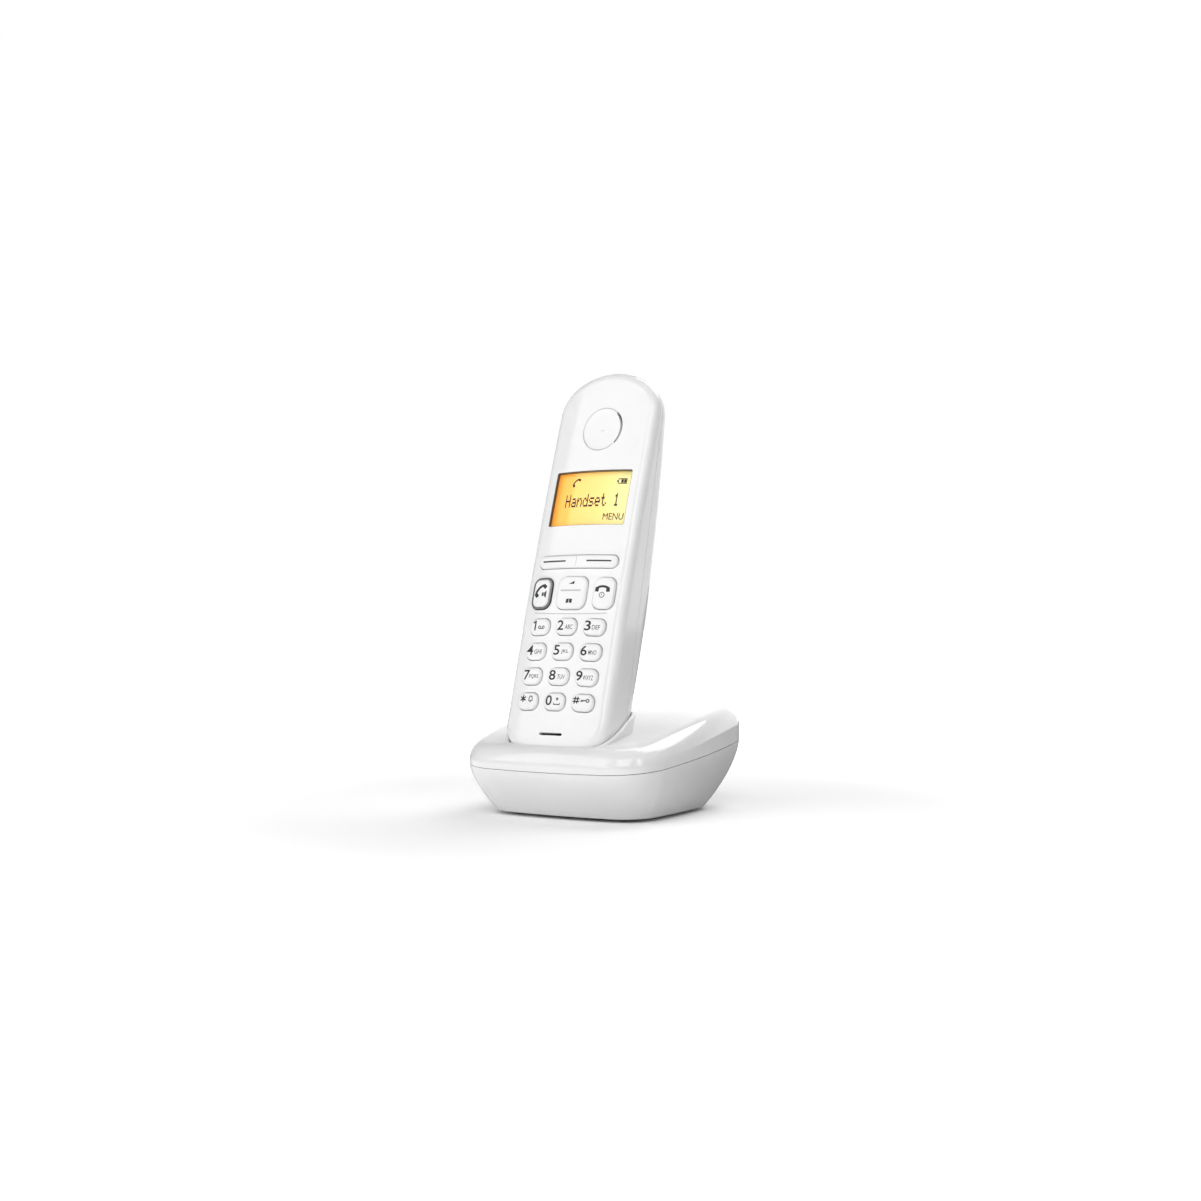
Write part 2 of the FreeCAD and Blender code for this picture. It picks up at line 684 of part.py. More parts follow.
def base_upper_shell():
    skin = upper_body().cut(upper_body(-BASE_WALL)).common(over_base_seam(SEAM_GAP))
    liner = dock(handset_body(COLLAR)).common(collar_limit())
    whole = skin.fuse(liner)
    room = upper_body(-BASE_WALL + 0.2).fuse(lower_body(-BASE_WALL - 2))
    for x, y in base_screw_places():
        column = post(x, y, 13.0, 60, 3.2).common(room)
        whole = whole.fuse(column.cut(post(x, y, 0, 24, 1.05)))
    whole = one(whole.cut([dock(handset_body(POCKET_GAP))] + contact_slots()))
    return whole.makeFillet(COLLAR_ROUND, collar_rim_edges(whole)).Solids[0]


def on_collar_rim(face):
    """True for the flat faces along the top of the collar."""
    if not isinstance(face.Surface, Part.Plane):
        return False
    normal = face.Surface.Axis
    level = abs(abs(normal.z) - 1) < 0.001 and abs(face.CenterOfMass.z - COLLAR_TOP_Z) < 0.01
    tilted = abs(abs(normal.z) - math.cos(math.radians(COLLAR_SLOPE))) < 0.001
    return level or (tilted and abs(normal.x) < 0.001)


def collar_rim_edges(shell):
    """The edges between the top of the collar and its walls."""
    found = []
    for edge in shell.Edges:
        sides = [face for face in shell.Faces if any(edge.isSame(e) for e in face.Edges)]
        on_rim = sum(on_collar_rim(face) for face in sides)
        if on_rim == 1 and len(sides) == 2 and edge.Length > 0.3:
            found.append(edge)
    return found


def base_screw_places():
    return ((-27.0, 8.0), (27.0, 8.0))


def base_lower_shell():
    shell = lower_body().cut(lower_body(-BASE_WALL - 0.4, FEET_HEIGHT + 2.2))
    shell = shell.cut(over_base_seam(-SEAM_GAP))
    tie = lower_body(-1.0).cut(lower_body(-BASE_WALL - LIP - 0.4)).common(over_base_seam(-3))
    tie = tie.cut(over_base_seam(-SEAM_GAP))
    whole = shell.fuse([tie, lip_ring()])
    for x, y in base_screw_places():
        whole = whole.fuse(post(x, y, FEET_HEIGHT, 12.6, 3.6))
    for x, y in board_post_places():
        whole = whole.fuse(post(x, y, FEET_HEIGHT + 1, BASE_BOARD_Z, 2.4))
    cuts = []
    for x, y in base_screw_places():
        cuts.append(post(x, y, -1, 5.5, 2.7))
        cuts.append(post(x, y, -1, 20, 1.4))
    for x, y in FEET_AT:
        cuts.append(post(x, y, -1, FEET_HEIGHT + 0.6, 4.6))
    cuts.append(socket_tunnel(LINE_SOCKET_X, 14.2, 13.2))
    cuts.append(socket_tunnel(POWER_SOCKET_X, 11.2, 10.2))
    cuts.append(Part.makeCylinder(PAGING_RADIUS + GAP, 40, V(PAGING_X, 20, PAGING_Z), Y))
    return one(whole.cut(cuts))


def lip_ring():
    """The lip of the lower shell that backs the base's seam."""
    outer = widest_prism(-BASE_WALL - 0.03)
    inner = widest_prism(-BASE_WALL - LIP)
    return outer.cut(inner).common(over_base_seam(-3)).cut(over_base_seam(1.6))


def board_post_places():
    return ((-25.0, -14.0), (25.0, -14.0), (-12.0, 22.0), (26.0, 20.0))


def socket_tunnel(x, width, height):
    """The way in to a socket through the back of the lower shell."""
    return box(x - width / 2, x + width / 2, 27.0, 60, BASE_BOARD_Z + BASE_BOARD,
               BASE_BOARD_Z + BASE_BOARD + height)


def socket(x, width, height, mouth_width, mouth_height):
    """A socket on the board, its mouth towards the back."""
    z0 = BASE_BOARD_Z + BASE_BOARD
    housing = box(x - width / 2, x + width / 2, 27.5, SOCKET_BACK_Y, z0, z0 + height)
    middle = z0 + height / 2
    mouth = box(x - mouth_width / 2, x + mouth_width / 2, 30.0, 60,
                middle - mouth_height / 2, middle + mouth_height / 2)
    latch = box(x - 1.8, x + 1.8, 30.0, 60, middle - mouth_height / 2 - 1.3, middle)
    return housing.cut([mouth, latch])


def line_socket():
    return socket(LINE_SOCKET_X, 13.6, 12.6, 9.8, 7.0)


def power_socket():
    return socket(POWER_SOCKET_X, 10.6, 9.6, 7.0, 5.4)


def paging_key():
    """The button on the back that makes the handset ring."""
    cap = Part.makeCylinder(PAGING_RADIUS, 40, V(PAGING_X, 32.5, PAGING_Z), Y).common(lower_body(0.7))
    flange = Part.makeCylinder(PAGING_RADIUS + 1.2, 1.2, V(PAGING_X, 32.5, PAGING_Z), Y)
    return one(cap.fuse(flange))


def base_board():
    board = block(0, 1.5, 62, 59, 6, BASE_BOARD_Z, BASE_BOARD_Z + BASE_BOARD)
    cuts = [post(x, y, 0, 20, 4.7) for x, y in base_screw_places()]
    return one(board.cut(cuts))


def base_shield():
    z0 = BASE_BOARD_Z + BASE_BOARD
    can = block(6, 2, 24, 22, 0.8, z0, z0 + 3.2)
    return can.makeFillet(0.4, rim_edges(can, z0 + 3.1, z0 + 3.3))


def capacitor(x, y, radius, height):
    z0 = BASE_BOARD_Z + BASE_BOARD
    can = post(x, y, z0, z0 + height, radius)
    return can.makeFillet(0.5, rim_edges(can, z0 + height - 0.1, z0 + height + 0.1))


def antenna(side):
    """A bent strip standing on the board."""
    z0 = BASE_BOARD_Z + BASE_BOARD
    x = side * 29.0
    leg = box(x - 0.3, x + 0.3, -16, -13, z0, z0 + 9)
    arm = box(x - 0.3, x + 0.3, -16, 2.6, z0 + 9, z0 + 11.5)
    return leg.fuse(arm).removeSplitter()


def contact_holder():
    """The block under the pocket that guides both charging contacts."""
    body = box(-15, 15, -10.5, -4.0, -CONTACT_DEPTH - 4, -CONTACT_DEPTH + 4)
    slots = []
    for side in (-1, 1):
        x = side * CONTACT_X
        slots.append(box(x - 1.1, x + 1.1, -30, 20, -CONTACT_DEPTH - 1.9, -CONTACT_DEPTH + 1.9))
    return body.cut(slots)


def charge_contact(side):
    """A spring contact that meets the handset's pad."""
    x = side * CONTACT_X
    blade = box(x - 0.8, x + 0.8, -11.5, 0.35, -CONTACT_DEPTH - 1.5, -CONTACT_DEPTH + 1.5)
    top = [e for e in blade.Edges if e.BoundBox.YMin > 0.3 and e.BoundBox.XLength > 1]
    return blade.makeFillet(1.0, top)


def rubber_foot(x, y):
    foot = post(x, y, 0, FEET_HEIGHT + 0.6, 4.5)
    return foot.makeFillet(0.4, rim_edges(foot, -0.1, 0.1))


def base_screw(x, y):
    head = post(x, y, 3.9, 5.5, 2.5)
    slot = box(x - 1.6, x + 1.6, y - 0.3, y + 0.3, 3.8, 4.6)
    cross = box(x - 0.3, x + 0.3, y - 1.6, y + 1.6, 3.8, 4.6)
    return head.fuse(post(x, y, 5.4, 21, 1.0)).cut([slot, cross])


def handset_pieces():
    """Every piece of the handset, in the flat frame."""
    pieces = {
        "handset_front_cover": front_cover(),
        "handset_rear_cover": rear_cover(),
        "battery_cover": battery_cover(),
        "display_window": display_window(),
        "display_panel": display_panel(),
        "display_light_guide": light_guide(),
        "earpiece_cover": earpiece_cover(),
        "earpiece_speaker": earpiece_speaker(),
        "loudspeaker": loudspeaker(),
        "microphone": microphone(),
        "key_mat": key_mat(),
        "handset_board": handset_board(),
        "handset_shield": handset_shield(),
        "battery_tray": battery_tray(),
        "battery_cell_left": cell(-1, True),
        "battery_cell_right": cell(1, False),
        "battery_spring_left": contact_spring(-1, True),
        "battery_spring_right": contact_spring(1, False),
        "battery_plate_left": contact_button(-1, False),
        "battery_plate_right": contact_button(1, True),
        "charge_pad_left": charge_plate(-1),
        "charge_pad_right": charge_plate(1),
        "key_talk": talk_key(),
        "key_talk_rim": talk_rim(),
        "key_end": end_key(),
        "key_navigation": navigation_key(),
        "key_soft_bar": soft_bar(),
    }
    for name, x, y, _, _, _ in all_keys()[:12]:
        pieces[name] = number_key(x, y)
    for i, (x, y) in enumerate(screw_places()):
        pieces["handset_screw_%d" % (i + 1)] = handset_screw(x, y)
    return pieces


def base_pieces():
    pieces = {
        "base_upper_shell": base_upper_shell(),
        "base_lower_shell": base_lower_shell(),
        "base_board": base_board(),
        "base_shield": base_shield(),
        "base_capacitor": capacitor(-16, 4, 4.0, 9.0),
        "antenna_left": antenna(-1),
        "antenna_right": antenna(1),
        "contact_holder": dock(contact_holder()),
        "charge_contact_left": dock(charge_contact(-1)),
        "charge_contact_right": dock(charge_contact(1)),
        "line_socket": line_socket(),
        "power_socket": power_socket(),
        "paging_key": paging_key(),
    }
    for i, (x, y) in enumerate(FEET_AT):
        pieces["rubber_foot_%d" % (i + 1)] = rubber_foot(x, y)
    for i, (x, y) in enumerate(base_screw_places()):
        pieces["base_screw_%d" % (i + 1)] = base_screw(x, y)
    return pieces


os.makedirs("parts", exist_ok=True)
whole = {name: dock(shape) for name, shape in handset_pieces().items()}
whole.update(base_pieces())
for name, shape in whole.items():
    shape.exportStep("parts/" + name + ".step")
    size = shape.BoundBox
    print("%-22s valid=%s solids=%d volume=%.0f x %.1f..%.1f y %.1f..%.1f z %.1f..%.1f" % (
        name, shape.isValid(), len(shape.Solids), shape.Volume,
        size.XMin, size.XMax, size.YMin, size.YMax, size.ZMin, size.ZMax))
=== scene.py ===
"""Looks of the cordless telephone: glossy white shells, printed keys and a lit amber display.

The handset's own frame, as in the CAD model: x across, y along it from its bottom end, z out of
its face, in millimetres. at() carries such a point to where it stands in the base, in metres.
"""

import math

import bmesh
import bpy
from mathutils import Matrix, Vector


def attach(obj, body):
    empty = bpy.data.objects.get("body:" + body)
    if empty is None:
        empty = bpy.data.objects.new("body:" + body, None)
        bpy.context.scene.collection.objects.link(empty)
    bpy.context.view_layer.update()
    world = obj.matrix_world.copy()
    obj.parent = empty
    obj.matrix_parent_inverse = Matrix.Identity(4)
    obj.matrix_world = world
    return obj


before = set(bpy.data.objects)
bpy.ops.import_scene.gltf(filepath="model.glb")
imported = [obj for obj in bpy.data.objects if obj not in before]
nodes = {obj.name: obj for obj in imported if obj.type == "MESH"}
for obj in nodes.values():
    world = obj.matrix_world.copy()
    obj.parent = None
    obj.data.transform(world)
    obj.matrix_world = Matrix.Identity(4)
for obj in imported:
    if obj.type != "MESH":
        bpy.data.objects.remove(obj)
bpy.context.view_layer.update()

MM = 0.001

# ---- sizes the pieces here share with the CAD model -------------------------------------------
LEAN = math.radians(17.94)
DOCK = Vector((0.0, -47.94, 25.97))
ALONG = Vector((0.0, math.sin(LEAN), math.cos(LEAN)))
OUT = Vector((0.0, -math.cos(LEAN), math.sin(LEAN)))
FACE_MIDDLE = 92.0
FACE_ARC = 2200.0
FACE_CROWN = 139.0
KEY_PROUD = 1.4
TALK_PROUD = 1.5
SOFT_PROUD = 1.2
KEY_COLUMNS = (-12.8, 0.0, 12.8)
KEY_ROWS = (52.8, 42.5, 32.2, 21.9)
FUNCTION_ROW = 67.0
FUNCTION_COLUMN = 14.6
SOFT_ROW = 80.4
EARPIECE = (0.4, 139.0)
EARPIECE_RADIUS = 9.5
EARPIECE_NARROW = 0.945
WINDOW_HALF_WIDTH = 18.0
WINDOW_Y = (96.3, 120.4)
WINDOW_DEPTH = 1.3
PANE = 0.9
PANE_REFLECTION = 0.006           # of each of the pane's two sides, seen straight on


def face_z(x, y):
    """Height of the handset's face."""
    return -((y - FACE_MIDDLE) ** 2) / (2 * FACE_ARC) - x ** 2 / (2 * FACE_CROWN)


def at(x, y, z):
    """A point of the handset's own frame, docked."""
    return (DOCK + Vector((x, 0, 0)) + ALONG * y + OUT * z) * MM


# ---- camera -----------------------------------------------------------------------------------
CAMERA_PLACE = Vector((334.8, -562.4, 80.6))
CAMERA_PITCH = math.radians(90.552)
CAMERA_TURN = math.radians(31.0)
CAMERA_LENS = 47.01
CAMERA_SENSOR = 36.0
CAMERA_NEAREST = 0.01


def add_camera():
    data = bpy.data.cameras.new("camera")
    data.lens = CAMERA_LENS
    data.sensor_width = CAMERA_SENSOR
    data.clip_start = CAMERA_NEAREST
    camera = bpy.data.objects.new("camera", data)
    bpy.context.scene.collection.objects.link(camera)
    camera.location = CAMERA_PLACE * MM
    camera.rotation_euler = (CAMERA_PITCH, 0, CAMERA_TURN)
    bpy.context.scene.camera = camera


add_camera()


# ---- materials --------------------------------------------------------------------------------
def fill_ramp(ramp, stops):
    """Sets a colour ramp's stops, each a position and a colour."""
    while len(ramp.elements) < len(stops):
        ramp.elements.new(0.5)
    for element, (position, color) in zip(ramp.elements, stops):
        element.position = position
        element.color = (*color, 1)


class Nodes:
    """A material's node tree with short calls."""

    def __init__(self, name):
        self.material = bpy.data.materials.new(name)
        self.material.use_nodes = True
        self.tree = self.material.node_tree
        self.shader = self.tree.nodes["Principled BSDF"]
        self.place = self.add("ShaderNodeTexCoord").outputs["Object"]

    def add(self, kind, **values):
        node = self.tree.nodes.new(kind)
        for key, value in values.items():
            setattr(node, key, value)
        return node

    def link(self, source, target):
        self.tree.links.new(source, target)

    def set(self, **values):
        for key, value in values.items():
            self.shader.inputs[key.replace("_", " ")].default_value = value

    def noise(self, scale, detail=3.0):
        node = self.add("ShaderNodeTexNoise")
        node.inputs["Scale"].default_value = scale
        node.inputs["Detail"].default_value = detail
        self.link(self.place, node.inputs["Vector"])
        return node.outputs["Fac"]

    def ramp(self, source, *stops):
        """Colours along a value."""
        node = self.add("ShaderNodeValToRGB")
        fill_ramp(node.color_ramp, stops)
        self.link(source, node.inputs["Fac"])
        return node.outputs["Color"]

    def range(self, source, low, high, first=0.0, last=1.0, **values):
        """A value's run from first to last, carried onto low to high."""
        node = self.add("ShaderNodeMapRange", **values)
        node.inputs["From Min"].default_value = first
        node.inputs["From Max"].default_value = last
        node.inputs["To Min"].default_value = low
        node.inputs["To Max"].default_value = high
        self.link(source, node.inputs["Value"])
        return node.outputs["Result"]

    def bump(self, height, depth):
        node = self.add("ShaderNodeBump")
        node.inputs["Strength"].default_value = 1.0
        node.inputs["Distance"].default_value = depth
        self.link(height, node.inputs["Height"])
        self.link(node.outputs["Normal"], self.shader.inputs["Normal"])


COAT_ROUGHNESS = 0.04
MOTTLE_SCALE = 70.0
HANDLING_SCALE = 38.0
DRAWN_STRETCH = (1, 1, 12)
DRAWN_SCALE = 900.0
DRAWN_DEPTH = 0.000004


def moulded(name, color, roughness, grain=0.000002, mottle=0.03, coat=0.0, scuffs=0.02,
            grain_scale=2600):
    """Moulded plastic or rubber: faint mottle, moulding grain and slightly uneven gloss."""
    n = Nodes(name)
    dark = tuple(c * (1 - mottle) for c in color)
    n.link(n.ramp(n.noise(MOTTLE_SCALE), (0.3, dark), (0.7, color)), n.shader.inputs["Base Color"])
    fine = n.noise(grain_scale, 4.0)
    handled = n.noise(HANDLING_SCALE, 5.0)
    n.link(n.range(handled, roughness - scuffs, roughness + scuffs), n.shader.inputs["Roughness"])
    n.bump(fine, grain)
    if coat:
        n.set(Coat_Weight=coat, Coat_Roughness=COAT_ROUGHNESS)
    return n.material


def metal(name, color, roughness):
    """Sheet metal or plated pins: fine drawn lines and patches of dull gloss."""
    n = Nodes(name)
    stretch = n.add("ShaderNodeMapping")
    stretch.inputs["Scale"].default_value = DRAWN_STRETCH
    n.link(n.place, stretch.inputs["Vector"])
    lines = n.add("ShaderNodeTexNoise")
    lines.inputs["Scale"].default_value = DRAWN_SCALE
    lines.inputs["Detail"].default_value = 3.0
    n.link(stretch.outputs["Vector"], lines.inputs["Vector"])
    dull = tuple(c * 0.8 for c in color)
    n.link(n.ramp(lines.outputs["Fac"], (0.3, dull), (0.7, color)), n.shader.inputs["Base Color"])
    n.link(n.range(n.noise(scale=140.0), roughness * 0.75, roughness * 1.35), n.shader.inputs["Roughness"])
    n.bump(lines.outputs["Fac"], DRAWN_DEPTH)
    n.set(Metallic=1.0)
    return n.material


WHITE = (0.86, 0.86, 0.862)
SHELL_GLOSS = 0.1
handset_white = moulded("handset_white", WHITE, roughness=SHELL_GLOSS, coat=0.5)
base_white = moulded("base_white", WHITE, roughness=SHELL_GLOSS, coat=0.5)
key_white = moulded("key_white", (0.87, 0.87, 0.87), roughness=0.2, coat=0.2)
ink = moulded("key_ink", (0.012, 0.012, 0.013), roughness=0.35)
fine_ink = moulded("fine_ink", (0.05, 0.05, 0.052), roughness=0.35)
pale_ink = moulded("pale_ink", (0.2, 0.2, 0.205), roughness=0.4)
crease_shade = moulded("crease_shade", (0.5, 0.5, 0.505), roughness=0.3)
silver = metal("silver_rim", (0.24, 0.245, 0.25), roughness=0.3)
steel = metal("screw_steel", (0.56, 0.57, 0.58), roughness=0.34)
tin = metal("tinned_steel", (0.68, 0.68, 0.7), roughness=0.3)
brass = metal("contact_metal", (0.83, 0.7, 0.42), roughness=0.22)
silicone = moulded("silicone", (0.62, 0.63, 0.64), roughness=0.55, grain=0.000004)
foot_rubber = moulded("foot_rubber", (0.05, 0.05, 0.052), roughness=0.8, grain=0.00001, mottle=0.25,
                      grain_scale=1400)
dark_plastic = moulded("dark_plastic", (0.03, 0.03, 0.032), roughness=0.45, grain=0.000006, mottle=0.2)
component = moulded("component_dark", (0.02, 0.02, 0.022), roughness=0.5, grain=0.000004, mottle=0.3)
guide_white = moulded("light_guide", (0.82, 0.8, 0.74), roughness=0.4)
# The display sleeve's dark brown: its brown tint is painted spill of the amber light
sleeve_painted_shade = moulded("display_sleeve_and_shade", (0.075, 0.05, 0.028), roughness=0.3)
display_ink = moulded("display_ink", (0.016, 0.011, 0.004), roughness=0.6)


PANE_GLANCE_POWER = 5.0
# Colours across the display, left to right: amber by the lamp, then at 0.2 to 0.25 a step to paler yellow
# that is a painted reflection of a soft box in the pane
AMBER_AND_REFLECTION_ACROSS = (
    (0.0, (1.0, 0.46, 0.075)),
    (0.2, (1.0, 0.5, 0.085)),
    (0.25, (0.97, 0.6, 0.16)),
    (0.6, (0.92, 0.66, 0.21)),
    (1.0, (0.82, 0.77, 0.36)),
)
AMBER_STRENGTH = (0.34, 0.38)


def clear_pane():
    """The display's pane: clear plastic, glossier the more it is seen from the side."""
    n = Nodes("window_clear")
    n.set(Base_Color=(1.0, 1.0, 1.0, 1), Metallic=1.0)
    n.link(n.range(n.noise(scale=45.0), low=0.02, high=0.06), n.shader.inputs["Roughness"])
    n.bump(n.noise(scale=160.0, detail=1.0), depth=0.0000004)
    facing = n.add("ShaderNodeLayerWeight").outputs["Facing"]
    steep = n.add("ShaderNodeMath", operation="POWER")
    steep.inputs[1].default_value = PANE_GLANCE_POWER
    n.link(facing, steep.inputs[0])
    clear = n.add("ShaderNodeBsdfTransparent")
    both = n.add("ShaderNodeMixShader")
    n.link(n.range(steep.outputs["Value"], PANE_REFLECTION, 1.0), both.inputs["Fac"])
    n.link(clear.outputs["BSDF"], both.inputs[1])
    n.link(n.shader.outputs["BSDF"], both.inputs[2])
    n.link(both.outputs["Shader"], n.tree.nodes["Material Output"].inputs["Surface"])
    return n.material


def backlight_and_painted_reflection():
    """The lit display: amber by its lamp at the left, yellower away from it; the sharp step a quarter in
    from the left, and the paler colours right of it, are a painted reflection of a soft box in the pane.
    """
    n = Nodes("display_amber")
    split = n.add("ShaderNodeSeparateXYZ")
    n.link(n.place, split.inputs["Vector"])
    edge = WINDOW_HALF_WIDTH * MM
    across = n.range(split.outputs["X"], 0.0, 1.0, -edge, edge)
    glow = n.ramp(across, *AMBER_AND_REFLECTION_ACROSS)
    n.link(glow, n.shader.inputs["Emission Color"])
    n.link(glow, n.shader.inputs["Base Color"])
    n.set(Roughness=0.6)
    n.link(n.range(n.noise(scale=220.0, detail=2.0), *AMBER_STRENGTH), n.shader.inputs["Emission Strength"])
    n.bump(n.noise(scale=2500.0), depth=0.000002)
    return n.material


def solder_mask():
    """A circuit board: green lacquer over copper tracks and pads."""
    n = Nodes("circuit_green")
    cells = n.add("ShaderNodeTexVoronoi", distance="MANHATTAN", feature="DISTANCE_TO_EDGE")
    cells.inputs["Scale"].default_value = 210.0
    n.link(n.place, cells.inputs["Vector"])
    green = (0.015, 0.13, 0.05)
    track = (0.04, 0.24, 0.09)
    colors = n.ramp(cells.outputs["Distance"], (0.0, track), (0.05, track), (0.09, green), (1.0, green))
    n.link(colors, n.shader.inputs["Base Color"])
    n.link(n.range(n.noise(scale=90.0), low=0.25, high=0.4), n.shader.inputs["Roughness"])
    n.bump(cells.outputs["Distance"], depth=0.00002)
    return n.material


def cell_wrap():
    """The printed sleeve of a rechargeable cell: plain bands along its length."""
    n = Nodes("cell_wrap")
    bands = n.add("ShaderNodeTexWave", bands_direction="Z")
    bands.inputs["Scale"].default_value = 9.0
    bands.inputs["Distortion"].default_value = 0.0
    n.link(n.place, bands.inputs["Vector"])
    green = (0.03, 0.16, 0.07)
    grey = (0.7, 0.7, 0.7)
    colors = n.ramp(bands.outputs["Fac"], (0.0, green), (0.82, green), (0.86, grey), (1.0, grey))
    n.link(colors, n.shader.inputs["Base Color"])
    n.link(n.range(n.noise(scale=60.0), low=0.22, high=0.34), n.shader.inputs["Roughness"])
    n.bump(n.noise(scale=1500.0), depth=0.000003)
    return n.material


def dress(material, *names):
    for name in names:
        slots = nodes[name].data.materials
        slots.clear()
        slots.append(material)


def starting(*prefixes):
    return [name for name in nodes if name.startswith(prefixes)]


dress(base_white, "base_upper_shell", "base_lower_shell")
dress(handset_white, "handset_front_cover", "handset_rear_cover", "battery_cover", "earpiece_cover")
dress(key_white, "paging_key", *starting("key_"))
dress(silver, "key_talk_rim")
dress(silicone, "key_mat")
dress(clear_pane(), "display_window")
dress(backlight_and_painted_reflection(), "display_panel")
dress(guide_white, "display_light_guide")
dress(foot_rubber, *starting("rubber_foot"))
dress(solder_mask(), "handset_board", "base_board")
dress(steel, *starting("handset_screw", "base_screw"))
dress(tin, "handset_shield", "base_shield", *starting("antenna"))
dress(cell_wrap(), *starting("battery_cell"))
dress(brass, *starting("battery_spring", "battery_plate", "charge_"))
dress(dark_plastic, "line_socket", "power_socket", "contact_holder", "battery_tray")
dress(component, "earpiece_speaker", "loudspeaker", "microphone", "base_capacitor")


# ---- pieces -----------------------------------------------------------------------------------
def add_piece(name, mesh, material, body):
    piece = bpy.data.objects.new(name, mesh)
    bpy.context.scene.collection.objects.link(piece)
    mesh.materials.append(material)
    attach(piece, body)
    return piece


def turned(points, degrees, x=0.0, y=0.0):
    """Points turned about the origin, then moved."""
    c = math.cos(math.radians(degrees))
    s = math.sin(math.radians(degrees))
    return [(x + c * px - s * py, y + s * px + c * py) for px, py in points]


def arc_points(x, y, radius, first, last, steps=14):
    points = []
    for i in range(steps + 1):
        a = math.radians(first + (last - first) * i / steps)
        points.append((x + radius * math.cos(a), y + radius * math.sin(a)))
    return points


class Print:
    """Thin marks drawn flat about (x, y) in the handset's frame, then laid on a curved surface."""

    RAISE = 0.02
    SINK = 0.04
    BOLD = 1.25
    BAR_STEP = 1.5
    RING_STEPS = 24

    def __init__(self, x, y):
        self.x = x
        self.y = y
        self.mesh = bmesh.new()

    def slab(self, outline):
        """A filled convex outline."""
        low, high = [[self.mesh.verts.new((x, y, z)) for x, y in outline]
                     for z in (-self.SINK, self.RAISE)]
        self.mesh.faces.new(reversed(low))
        self.mesh.faces.new(high)
        for i in range(len(outline)):
            j = (i + 1) % len(outline)
            self.mesh.faces.new((low[i], low[j], high[j], high[i]))

    def bar(self, x, y, width, height):
        """A level bar, cut along its length so that it can follow the crown."""
        steps = max(1, round(width / self.BAR_STEP))
        path = [(x - width / 2 + width * i / steps, y) for i in range(steps + 1)]
        self.ribbon(path, height)

    def ribbon(self, path, width, closed=False):
        """A line of one width along a path."""
        count = len(path)
        rows = []
        for i, (x, y) in enumerate(path):
            before = path[i - 1] if closed or i else path[0]
            after = path[(i + 1) % count] if closed or i < count - 1 else path[-1]
            along = Vector((after[0] - before[0], after[1] - before[1])).normalized()
            side = Vector((-along.y, along.x)) * width * self.BOLD / 2
            corners = ((x - side.x, y - side.y), (x + side.x, y + side.y))
            rows.append([[self.mesh.verts.new((cx, cy, z)) for cx, cy in corners]
                         for z in (-self.SINK, self.RAISE)])
        for i in range(count if closed else count - 1):
            (a, b), (c, d) = rows[i]
            (e, f), (g, h) = rows[(i + 1) % count]
            for quad in ((a, b, f, e), (c, g, h, d), (a, e, g, c), (b, d, h, f)):
                self.mesh.faces.new(quad)
        if not closed:
            for (a, b), (c, d) in (rows[0], rows[-1]):
                self.mesh.faces.new((a, c, d, b))

    def ring(self, x, y, radius, width):
        self.ribbon(arc_points(x, y, radius, 0, 360, self.RING_STEPS)[:-1], width, closed=True)

    def lettering(self, text, x, y, width, height, weight=0.0):
        """Text whose capitals fill a width and a height."""
        curve = bpy.data.curves.new("lettering", "FONT")
        curve.body = text
        curve.extrude = 0.5
        curve.offset = weight
        curve.resolution_u = 4
        carrier = bpy.data.objects.new("lettering", curve)
        bpy.context.scene.collection.objects.link(carrier)
        bpy.context.view_layer.update()
        evaluated = carrier.evaluated_get(bpy.context.evaluated_depsgraph_get())
        flat = bpy.data.meshes.new_from_object(evaluated)
        xs = [v.co.x for v in flat.vertices]
        ys = [v.co.y for v in flat.vertices]
        scale_x = width / (max(xs) - min(xs))
        scale_y = height / (max(ys) - min(ys))
        for v in flat.vertices:
            v.co.x = x + (v.co.x - (max(xs) + min(xs)) / 2) * scale_x
            v.co.y = y + (v.co.y - (max(ys) + min(ys)) / 2) * scale_y
            v.co.z = self.RAISE if v.co.z > 0 else -self.SINK
        self.mesh.from_mesh(flat)
        bpy.data.objects.remove(carrier)
        bpy.data.curves.remove(curve)
        bpy.data.meshes.remove(flat)

    def lay(self, name, proud, material, body):
        """Lays the marks this far in front of the handset's face and adds them as a piece."""
        bmesh.ops.remove_doubles(self.mesh, verts=self.mesh.verts, dist=0.001)
        for v in self.mesh.verts:
            x = self.x + v.co.x
            y = self.y + v.co.y
            v.co = at(x, y, face_z(x, y) + proud + v.co.z)
        bmesh.ops.recalc_face_normals(self.mesh, faces=self.mesh.faces)
        mesh = bpy.data.meshes.new(name)
        self.mesh.to_mesh(mesh)
        self.mesh.free()
        return add_piece(name, mesh, material, body)


# ---- legends ----------------------------------------------------------------------------------
DIGIT_HEIGHT = 4.1
LETTER_HEIGHT = 1.85
DIGIT_WEIGHT = 0.016
LETTER_WEIGHT = 0.006
LETTERS_WIDTH = {3: 3.5, 4: 4.6}
DIGIT_Y = 0.3
LETTERS_Y = -0.35
# body, digit, its place across and its width, letters, their place across
NUMBER_KEYS = (
    (("key_1", "", 0, 0, "", 0), ("key_2", "2", -2.2, 2.9, "ABC", 1.75),
     ("key_3", "3", -2.5, 2.8, "DEF", 1.25)),
    (("key_4", "4", -2.45, 3.1, "GHI", 1.6), ("key_5", "5", -2.15, 2.7, "JKL", 1.8),
     ("key_6", "6", -2.5, 2.8, "MNO", 1.4)),
    (("key_7", "7", -2.15, 2.9, "PQRS", 1.4), ("key_8", "8", -2.3, 3.0, "TUV", 1.8),
     ("key_9", "9", -2.8, 2.8, "WXYZ", 1.1)),
    (("key_star", "", 0, 0, "", 0), ("key_0", "0", -2.15, 2.9, "", 0), ("key_hash", "", 0, 0, "", 0)),
)


